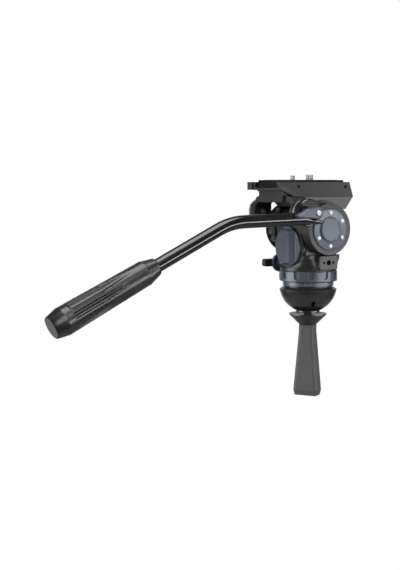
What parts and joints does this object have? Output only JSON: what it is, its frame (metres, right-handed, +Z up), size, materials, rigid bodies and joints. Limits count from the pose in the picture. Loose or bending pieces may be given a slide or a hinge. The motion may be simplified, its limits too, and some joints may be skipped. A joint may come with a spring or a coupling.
{
  "type": "fluid video head",
  "caption": "Fluid video head on a 75 mm half ball: pan and tilt drag, tie-down paddle handle, sliding camera plate and a bent pan bar with a rubber grip.",
  "frame": {"origin": "centre of the 75 mm half ball's sphere, on the pan axis", "axes": "+Z up, +Y the way the lens looks with the tilt level, +X the operator's right, the side of the pan bar"},
  "size_m": [0.136, 0.4424, 0.2864],
  "materials": {
    "cast_black": "satin black powder coat",
    "gloss_black": "gloss black",
    "accent_blue": "satin slate blue-grey anodised",
    "bar_black": "satin black anodised",
    "screw_steel": "bright zinc",
    "rosette_steel": "machined",
    "spindle_steel": "ground",
    "spring_steel": "oiled",
    "bronze": "sintered",
    "handle_plastic": "fine grain",
    "lever_black": "satin",
    "grip_rubber": "matt",
    "pad_rubber": "matt",
    "cap_grey": "satin",
    "vial_glass": "clear"
  },
  "bodies": {
    "base": {"half_ball": "gloss_black", "pan_spindle": "spindle_steel", "foot_bolts": "spindle_steel", "pan_base": "cast_black", "pan_scale_ring": "accent_blue", "pan_brake_drum": "spindle_steel", "pan_nut": "spindle_steel", "clamp_stud": "gloss_black"},
    "washer": {"clamp_washer": "gloss_black"},
    "handle": {"clamp_handle": "handle_plastic", "handle_insert": "bronze"},
    "drag_ring": {"pan_drag_ring": "accent_blue"},
    "pan_unit": {"pan_housing": "cast_black", "pan_bush": "bronze", "bubble_cup": "bronze", "bubble_vial": "vial_glass", "tilt_bearing_caps": "bronze", "tilt_drag_cup": "spindle_steel", "counterbalance_spring": "spring_steel"},
    "counterbalance": {"counterbalance_knob": "accent_blue", "counterbalance_spindle": "spindle_steel"},
    "pan_lock": {"pan_lock_hub": "accent_blue", "pan_lock_lever": "lever_black", "pan_lock_screw": "spindle_steel"},
    "pan_shoe": {"pan_lock_shoe": "bronze"},
    "tilt_lock": {"tilt_lock_hub": "accent_blue", "tilt_lock_lever": "lever_black", "tilt_lock_cam": "spindle_steel"},
    "tilt_shoe": {"tilt_brake_shoe": "bronze"},
    "tilt_unit": {"tilt_cradle": "cast_black", "tilt_shaft": "spindle_steel", "tilt_drag_rotor": "spindle_steel", "tilt_cover": "accent_blue", "tilt_cap": "accent_blue", "tilt_cover_screws": "screw_steel", "rosette_rings": "rosette_steel", "rosette_blank_screw": "screw_steel", "wall_screws": "gloss_black", "plate_lock_pin": "spindle_steel"},
    "tilt_dial": {"tilt_drag_dial": "accent_blue", "dial_rim": "cast_black"},
    "button": {"safety_button": "accent_blue"},
    "jaw": {"plate_jaw": "cast_black"},
    "plate_lever": {"plate_lock_lever": "lever_black"},
    "plate": {"camera_plate": "bar_black", "plate_pads": "pad_rubber"},
    "quarter_carrier": {"quarter_retainer": "screw_steel"},
    "quarter_screw_body": {"quarter_screw": "screw_steel"},
    "three_eighths_carrier": {"three_eighths_retainer": "screw_steel"},
    "three_eighths_screw_body": {"three_eighths_screw": "screw_steel"},
    "bar": {"bar_socket": "bar_black", "pan_bar_tube": "bar_black", "bar_grip": "grip_rubber", "grip_end_cap": "cap_grey"},
    "bar_lever": {"bar_clamp_lever": "accent_blue", "bar_clamp_bolt": "spindle_steel", "bar_clamp_screw": "screw_steel"}
  },
  "joints": [
    {"name": "clamp_travel", "type": "slide", "parent": "base", "child": "washer", "axis": [0, 0, 1], "range_m": [-0.009, 0.00075]},
    {"name": "handle_turn", "type": "hinge", "parent": "washer", "child": "handle", "pos_m": [0, 0, -0.09], "axis": [0, 0, 1], "range_deg": [-2165, 185]},
    {"name": "drag_ring_turn", "type": "hinge", "parent": "base", "child": "drag_ring", "pos_m": [0, 0, 0.011], "axis": [0, 0, 1], "range_deg": [0, 300]},
    {"name": "pan", "type": "hinge", "parent": "base", "child": "pan_unit", "pos_m": [0, 0, 0.03], "axis": [0, 0, 1], "continuous": true},
    {"name": "counterbalance_turn", "type": "hinge", "parent": "pan_unit", "child": "counterbalance", "pos_m": [0, -0.03, 0.049], "axis": [0, -1, 0], "range_deg": [0, 270]},
    {"name": "pan_lock_turn", "type": "hinge", "parent": "pan_unit", "child": "pan_lock", "pos_m": [-0.042, -0.017, 0.026], "axis": [1, 0, 0], "range_deg": [0, 80]},
    {"name": "pan_shoe_travel", "type": "slide", "parent": "pan_unit", "child": "pan_shoe", "axis": [1, 0, 0], "range_m": [0, 0.00025]},
    {"name": "tilt_lock_turn", "type": "hinge", "parent": "pan_unit", "child": "tilt_lock", "pos_m": [-0.042, 0.017, 0.026], "axis": [1, 0, 0], "range_deg": [-80, 0]},
    {"name": "tilt_shoe_travel", "type": "slide", "parent": "pan_unit", "child": "tilt_shoe", "axis": [0, 0, 1], "range_m": [0, 0.0003]},
    {"name": "tilt", "type": "hinge", "parent": "pan_unit", "child": "tilt_unit", "pos_m": [0, 0, 0.072], "axis": [1, 0, 0], "range_deg": [-70, 45]},
    {"name": "tilt_dial_turn", "type": "hinge", "parent": "tilt_unit", "child": "tilt_dial", "pos_m": [-0.044, 0, 0.072], "axis": [1, 0, 0], "range_deg": [0, 300]},
    {"name": "button_push", "type": "slide", "parent": "tilt_unit", "child": "button", "axis": [1, 0, 0], "range_m": [0, 0.002], "stiffness_N_per_m": 300},
    {"name": "plate_lever_turn", "type": "hinge", "parent": "tilt_unit", "child": "plate_lever", "pos_m": [-0.0368, -0.022, 0.1265], "axis": [0, 0, 1], "range_deg": [-80, 0]},
    {"name": "jaw_travel", "type": "slide", "parent": "tilt_unit", "child": "jaw", "axis": [1, 0, 0], "range_m": [-0.0012, 0]},
    {"name": "plate_slide", "type": "slide", "parent": "tilt_unit", "child": "plate", "axis": [0, 1, 0], "range_m": [-0.04, 0.04]},
    {"name": "quarter_slide", "type": "slide", "parent": "plate", "child": "quarter_carrier", "axis": [0, 1, 0], "range_m": [-0.005, 0.005]},
    {"name": "quarter_turn", "type": "hinge", "parent": "quarter_carrier", "child": "quarter_screw_body", "pos_m": [0, -0.026, 0.127], "axis": [0, 0, 1], "continuous": true},
    {"name": "three_eighths_slide", "type": "slide", "parent": "plate", "child": "three_eighths_carrier", "axis": [0, 1, 0], "range_m": [-0.005, 0.005]},
    {"name": "three_eighths_turn", "type": "hinge", "parent": "three_eighths_carrier", "child": "three_eighths_screw_body", "pos_m": [0, 0.001, 0.127], "axis": [0, 0, 1], "continuous": true},
    {"name": "bar_swing", "type": "hinge", "parent": "tilt_unit", "child": "bar", "pos_m": [0.055, -0.0455, 0.094], "axis": [1, 0, 0], "range_deg": [-100, 60]},
    {"name": "bar_lever_turn", "type": "hinge", "parent": "bar", "child": "bar_lever", "pos_m": [0.078, -0.0455, 0.094], "axis": [1, 0, 0], "range_deg": [-90, 90]}
  ],
  "couplings": [
    {"joint": "handle_turn", "follows": "clamp_travel", "rad_per_m": 4188.8},
    {"joint": "pan_shoe_travel", "follows": "pan_lock_turn", "m_per_rad": 0.00017189},
    {"joint": "tilt_shoe_travel", "follows": "tilt_lock_turn", "m_per_rad": -0.00020054},
    {"joint": "jaw_travel", "follows": "plate_lever_turn", "m_per_rad": 0.00084511}
  ]
}
